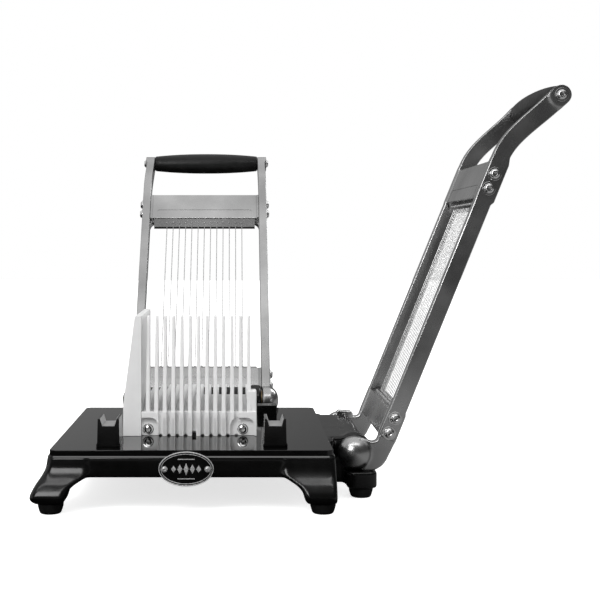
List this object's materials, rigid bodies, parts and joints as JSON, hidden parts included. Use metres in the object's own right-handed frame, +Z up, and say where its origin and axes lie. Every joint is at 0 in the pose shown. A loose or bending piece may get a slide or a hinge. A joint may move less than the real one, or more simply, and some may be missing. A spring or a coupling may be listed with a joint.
{
  "type": "vegetable dicer",
  "caption": "Table-top dicer: slotted bed with comb walls on a cast base, and two hinged wire frames that swing down in turn.",
  "frame": {"origin": "on the floor, at the centre of the front left foot's underside", "axes": "+Z up; +X to the right, towards the right hinge; +Y to the rear, towards the back hinge; the badge faces -Y"},
  "size_m": [0.5926, 0.6724, 0.4641],
  "materials": {
    "black_enamel": "glossy black enamel",
    "rubber": "matt black rubber",
    "white_plastic": "satin white food-grade plastic",
    "badge": "polished rim with a black field",
    "grip_plastic": "satin black",
    "wire_steel": "bright drawn wire",
    "bush_bronze": "machined",
    "steel": "bright stainless",
    "aluminium": "polished and brushed aluminium"
  },
  "bodies": {
    "base": {"back_hinge_bush_left": "bush_bronze", "back_hinge_bush_right": "bush_bronze", "back_hinge_shaft": "steel", "badge_plate": "badge", "badge_screw_left": "steel", "badge_screw_right": "steel", "base_casting": "black_enamel", "bed_block": "white_plastic", "comb_screw_front_left": "steel", "comb_screw_front_right": "steel", "comb_screw_side_far": "steel", "comb_screw_side_near": "steel", "foot_back_tab": "rubber", "foot_front_left": "rubber", "foot_front_right": "rubber", "foot_rear_left": "rubber", "foot_rear_right": "rubber", "foot_right_tab": "rubber", "front_comb": "white_plastic", "rest_post_left": "black_enamel", "rest_post_right": "black_enamel", "right_hinge_bush_far": "bush_bronze", "right_hinge_bush_near": "bush_bronze", "right_hinge_shaft": "steel", "side_comb": "white_plastic"},
    "back_frame": {"back_bolt_lower_a_left": "steel", "back_bolt_lower_a_right": "steel", "back_bolt_lower_b_left": "steel", "back_bolt_lower_b_right": "steel", "back_bolt_upper_a_left": "steel", "back_bolt_upper_a_right": "steel", "back_bolt_upper_b_left": "steel", "back_bolt_upper_b_right": "steel", "back_grip": "grip_plastic", "back_grip_bolt_left": "steel", "back_grip_bolt_right": "steel", "back_grip_rod": "steel", "back_lower_crossbar": "aluminium", "back_rail_left": "aluminium", "back_rail_right": "aluminium", "back_upper_crossbar": "aluminium", "back_wires": "wire_steel"},
    "right_frame": {"right_bolt_lower_a_left": "steel", "right_bolt_lower_a_right": "steel", "right_bolt_lower_b_left": "steel", "right_bolt_lower_b_right": "steel", "right_bolt_upper_a_left": "steel", "right_bolt_upper_a_right": "steel", "right_bolt_upper_b_left": "steel", "right_bolt_upper_b_right": "steel", "right_grip": "grip_plastic", "right_grip_bolt_left": "steel", "right_grip_bolt_right": "steel", "right_grip_rod": "steel", "right_lower_crossbar": "aluminium", "right_rail_left": "aluminium", "right_rail_right": "aluminium", "right_upper_crossbar": "aluminium", "right_wires": "wire_steel"}
  },
  "joints": [
    {"name": "back_frame_hinge", "type": "hinge", "parent": "base", "child": "back_frame", "pos_m": [0.148, 0.328, 0.0715], "axis": [1, 0, 0], "range_deg": [0, 124.5]},
    {"name": "right_frame_hinge", "type": "hinge", "parent": "base", "child": "right_frame", "pos_m": [0.328, 0.161, 0.0496], "axis": [0, -1, 0], "range_deg": [0, 112.15]}
  ]
}
